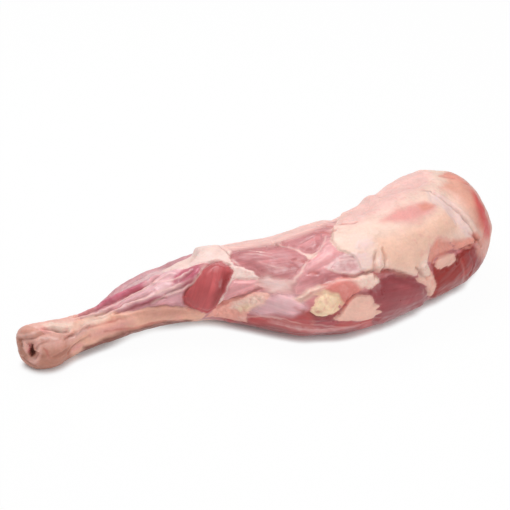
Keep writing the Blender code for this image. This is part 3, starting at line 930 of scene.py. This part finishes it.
def keep_fields(mesh, skin, ring_count):
    """Stores on the mesh what the material reads."""
    lines = [skin.lines[kind] for kind in ("seam", "crease", "blood")]
    fields = {
        "tissue": np.stack([skin.fat, skin.film, skin.crumb], axis=1),
        "lines": np.stack(lines, axis=1),
        "grain": skin.grain,
        "muscle_colour": skin.muscle_colour,
        "fat_colour": skin.fat_colour,
    }
    for name, values in fields.items():
        keep_attribute(mesh, name, with_ends(values, ring_count))


def make_leg():
    """The leg's skin as one mesh, raised by its tissues and carrying their fields."""
    rings, *ends = cast_skin(NODE)
    rings, ends = smoothed(rings, ends, SMOOTHING)
    skin = paint_skin(rings)
    normals = ring_normals(rings, ends).reshape(-1, 3)
    count = len(rings)
    points = with_ends(skin.chart.points + normals * skin.height[:, None], count)
    points[:, 2] = np.maximum(points[:, 2], 0)
    mesh = make_mesh("leg", points, *grid_faces(count, rings.shape[1]))
    keep_fields(mesh, skin, count)
    return bpy.data.objects.new("leg", mesh)


# ---- material ----
class Graph:
    """Short calls that add shader nodes to one material."""

    def __init__(self, material):
        material.use_nodes = True
        self.tree = material.node_tree
        self.shader = self.tree.nodes["Principled BSDF"]

    def node(self, kind, inputs, **settings):
        """A node with its settings and inputs; an input is a value or another node's output."""
        made = self.tree.nodes.new(kind)
        for name, value in settings.items():
            setattr(made, name, value)
        for key, value in inputs.items():
            self.connect(value, made.inputs[key])
        return made

    def connect(self, value, socket):
        if isinstance(value, bpy.types.NodeSocket):
            self.tree.links.new(value, socket)
        else:
            socket.default_value = value

    def attribute(self, name):
        """The three numbers of a stored attribute."""
        read = self.node("ShaderNodeAttribute", {}, attribute_name=name)
        return read.outputs["Vector"]

    def parts(self, vector):
        return self.node("ShaderNodeSeparateXYZ", {0: vector}).outputs

    def math(self, operation, first, second=0.0):
        return self.node("ShaderNodeMath", {0: first, 1: second}, operation=operation).outputs[0]

    def scaled(self, vector, factor):
        """A vector or colour times one number."""
        made = self.node("ShaderNodeVectorMath", {0: vector, "Scale": factor}, operation="SCALE")
        return made.outputs[0]

    def stretched(self, vector, factors):
        """A vector times three numbers, one each way."""
        made = self.node("ShaderNodeVectorMath", {0: vector, 1: factors}, operation="MULTIPLY")
        return made.outputs[0]

    def ramp(self, value, low, high, to_low=0.0, to_high=1.0):
        """The value's range low to high taken smoothly to another range, and held there."""
        inputs = {"Value": value, 1: low, 2: high, 3: to_low, 4: to_high}
        made = self.node("ShaderNodeMapRange", inputs, interpolation_type="SMOOTHSTEP")
        return made.outputs["Result"]

    def noise(self, place, lumps_per_unit, detail=2.0, roughness=0.5):
        inputs = {"Vector": place, "Scale": lumps_per_unit, "Detail": detail}
        made = self.node("ShaderNodeTexNoise", {**inputs, "Roughness": roughness})
        return made.outputs["Fac"]

    def mix(self, amount, first, second):
        """first where amount is 0, second where it is 1; both are colours."""
        inputs = {"Factor": amount, 6: first, 7: second}
        return self.node("ShaderNodeMix", inputs, data_type="RGBA").outputs[2]


def colour(rgb):
    return (*rgb, 1.0)


Textures = namedtuple("Textures", "broad coarse mottle fine fibre thread")


def meat_textures(g):
    """The noises of raw meat, from broad patches to single fibres."""
    place = g.node("ShaderNodeTexCoord", {}).outputs["Object"]
    grain = g.attribute("grain")
    return Textures(
        broad=g.noise(place, 24),
        coarse=g.noise(place, 60),
        mottle=g.noise(place, 170, 3),
        fine=g.noise(place, 420, 2),
        fibre=g.noise(g.stretched(grain, FIBRES_PER_MM), 1.0, 3, 0.6),
        thread=g.noise(g.stretched(grain, THREADS_PER_MM), 1.0, 2),
    )


def muscle_tone(g, t):
    """The stored colour of the muscle, with its fibres, uneven shade and paler bloom."""
    fibres = g.ramp(t.fibre, 0.3, 0.7, -0.07, 0.07)
    shade = g.math("ADD", fibres, g.ramp(t.coarse, 0.3, 0.7, 0.94, 1.06))
    tone = g.scaled(g.attribute("muscle_colour"), shade)
    threads = g.ramp(t.thread, 0.45, 0.75, 0, 0.35)
    bloom = g.math("MULTIPLY", threads, g.ramp(t.broad, 0.4, 0.65))
    return g.scaled(tone, g.math("ADD", bloom, 0.95))


def fat_tone(g, t, gaps):
    """The stored colour of the fat, with a blush in places and pink between its crumbs."""
    uneven = g.ramp(t.coarse, 0.3, 0.7, -0.05, 0.05)
    shade = g.math("ADD", uneven, g.ramp(t.fine, 0.3, 0.7, 0.97, 1.03))
    tone = g.scaled(g.attribute("fat_colour"), shade)
    spots = g.ramp(t.mottle, 0.48, 0.72, 0, 0.45)
    blush = g.math("MULTIPLY", spots, g.ramp(t.broad, 0.42, 0.62))
    tone = g.mix(blush, tone, colour(PALETTE["light red"]))
    return g.mix(g.ramp(gaps, 0.35, 0.95, 0, 0.5), tone, colour(PALETTE["rim pink"]))


def fat_share(g, t, fat):
    """1 on fat and 0 on muscle, with fibres of one reaching into the other."""
    fibres = g.ramp(t.fibre, 0.25, 0.75, -0.9, 0.9)
    feather = g.math("ADD", fibres, g.ramp(t.mottle, 0.25, 0.75, -0.5, 0.5))
    edge = g.math("ADD", fat, feather)
    return g.math("ADD", g.ramp(edge, -0.5, 0.5, 0, 0.6), g.ramp(edge, -2.6, 3.2, 0, 0.4))


def set_finish(g, t, is_fat):
    """A patchy moist gloss, fine relief, and a little light through the surface."""
    dull = g.ramp(is_fat, 0, 1, 0.40, 0.50)
    broad_gloss = g.ramp(t.coarse, 0.35, 0.65, -0.09, 0.09)
    patchy = g.math("ADD", broad_gloss, g.ramp(t.mottle, 0.3, 0.7, -0.05, 0.05))
    g.connect(g.math("ADD", dull, patchy), g.shader.inputs["Roughness"])
    relief = g.math("ADD", g.math("MULTIPLY", t.fibre, 0.9), g.math("MULTIPLY", t.mottle, 0.8))
    inputs = {"Height": relief, "Strength": RELIEF_STRENGTH, "Distance": RELIEF_HEIGHT}
    bump = g.node("ShaderNodeBump", inputs)
    g.connect(bump.outputs["Normal"], g.shader.inputs["Normal"])
    g.shader.inputs["Specular IOR Level"].default_value = 0.42
    g.shader.inputs["Coat Weight"].default_value = 0.10
    g.shader.inputs["Coat Roughness"].default_value = 0.28
    g.shader.inputs["Subsurface Weight"].default_value = 0.15
    g.shader.inputs["Subsurface Radius"].default_value = (1.0, 0.35, 0.25)
    g.shader.inputs["Subsurface Scale"].default_value = 2.0 * MM


def meat_material():
    """Moist raw meat: muscle and fat of the stored colours, with membranes, pale seams that are
    partly painted highlight, and creases and blood marks that are partly painted shade.
    """
    material = bpy.data.materials.new("raw_meat")
    g = Graph(material)
    t = meat_textures(g)
    fat, film, gaps = g.parts(g.attribute("tissue"))
    seam, crease, blood = g.parts(g.attribute("lines"))
    is_fat = fat_share(g, t, fat)
    tone = g.mix(is_fat, muscle_tone(g, t), fat_tone(g, t, gaps))
    fibres = g.ramp(t.fibre, 0.3, 0.7, -0.15, 0.15)
    streaks = g.math("ADD", g.ramp(t.mottle, 0.3, 0.7, 0.35, 0.75), fibres)
    veil = g.math("MULTIPLY", g.ramp(film, 0.0, 1.0), streaks)
    tone = g.mix(veil, tone, colour(FILM_COLOUR))
    # Blood marks, pale seams and dark creases: the seams are partly painted highlight, and the
    # creases and some blood marks are painted shade.
    tone = g.mix(g.math("MULTIPLY", blood, BLOOD_AND_SHADE_STRENGTH), tone, colour(BLOOD_AND_SHADE_COLOUR))
    tone = g.mix(g.math("MULTIPLY", seam, SEAM_AND_HIGHLIGHT_STRENGTH), tone, colour(SEAM_AND_HIGHLIGHT_COLOUR))
    tone = g.mix(g.math("MULTIPLY", crease, CREASE_SHADE_STRENGTH), tone, colour(CREASE_SHADE_AND_BLOOD_COLOUR))
    g.connect(tone, g.shader.inputs["Base Color"])
    set_finish(g, t, is_fat)
    return material


def floor_material():
    """A pale floor: white where the sky is open above it, in shadow close to the leg."""
    material = bpy.data.materials.new("white_floor")
    g = Graph(material)
    g.shader.inputs["Base Color"].default_value = colour(FLOOR_COLOUR)
    g.shader.inputs["Roughness"].default_value = 0.9
    glow = g.node("ShaderNodeEmission", {"Color": colour((1, 1, 1)), "Strength": 1.0})
    rays = g.node("ShaderNodeLightPath", {}).outputs
    seen = g.math("MAXIMUM", rays["Is Camera Ray"], rays["Is Glossy Ray"])
    around = g.node("ShaderNodeAmbientOcclusion", {"Distance": SHADOW_REACH}, samples=16)
    open_sky = g.ramp(around.outputs["AO"], 0.25, 0.85, 0.05, 0.97)
    share = g.math("MULTIPLY", seen, open_sky)
    both = g.node("ShaderNodeMixShader", {0: share, 1: g.shader.outputs[0], 2: glow.outputs[0]})
    output = g.tree.nodes["Material Output"]
    g.connect(both.outputs[0], output.inputs["Surface"])
    return material


def add_floor():
    half = 3.0
    mesh = bpy.data.meshes.new("floor")
    corners = [(-half, -half, 0), (half, -half, 0), (half, half, 0), (-half, half, 0)]
    mesh.from_pydata(corners, [], [(0, 1, 2, 3)])
    mesh.materials.append(floor_material())
    floor = bpy.data.objects.new("floor", mesh)
    floor.location.z = -0.2 * MM
    bpy.context.scene.collection.objects.link(floor)


def add_world():
    """White to the camera, and a plain soft light on the object."""
    world = bpy.data.worlds.new("studio")
    bpy.context.scene.world = world
    world.use_nodes = True
    tree = world.node_tree
    backdrop = tree.nodes["Background"]
    rays = tree.nodes.new("ShaderNodeLightPath")
    either = tree.nodes.new("ShaderNodeMath")
    either.operation = "MAXIMUM"
    tree.links.new(rays.outputs["Is Camera Ray"], either.inputs[0])
    tree.links.new(rays.outputs["Is Transmission Ray"], either.inputs[1])
    level = tree.nodes.new("ShaderNodeMapRange")
    level.inputs["To Min"].default_value = WORLD_LIGHT
    tree.links.new(either.outputs[0], level.inputs["Value"])
    tree.links.new(level.outputs["Result"], backdrop.inputs["Strength"])
    backdrop.inputs["Color"].default_value = colour((1, 1, 1))


def add_lamp(name, place, size, power):
    """A square white lamp that looks at the middle of the leg."""
    light = bpy.data.lights.new(name, "AREA")
    light.shape = "SQUARE"
    light.size = size
    light.energy = power
    lamp = bpy.data.objects.new(name, light)
    lamp.location = place
    lamp.rotation_euler = (LAMP_AIM - Vector(place)).to_track_quat("-Z", "Y").to_euler()
    bpy.context.scene.collection.objects.link(lamp)


def add_camera():
    azimuth, elevation = math.radians(CAMERA_AZIMUTH), math.radians(CAMERA_ELEVATION)
    back = Vector((
        math.sin(azimuth) * math.cos(elevation),
        -math.cos(azimuth) * math.cos(elevation),
        math.sin(elevation),
    ))
    camera = bpy.data.objects.new("camera", bpy.data.cameras.new("camera"))
    camera.data.lens = CAMERA_LENS
    camera.location = CAMERA_TARGET + back * CAMERA_DISTANCE
    camera.rotation_euler = (-back).to_track_quat("-Z", "Y").to_euler()
    bpy.context.scene.collection.objects.link(camera)
    bpy.context.scene.camera = camera


def main():
    bpy.context.scene.view_settings.view_transform = "Standard"
    add_camera()
    add_world()
    add_floor()
    for lamp in LAMPS:
        add_lamp(*lamp)
    leg = make_leg()
    bpy.context.scene.collection.objects.link(leg)
    leg.data.materials.append(meat_material())
    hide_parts(NODE)
    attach(leg, "root")


main()
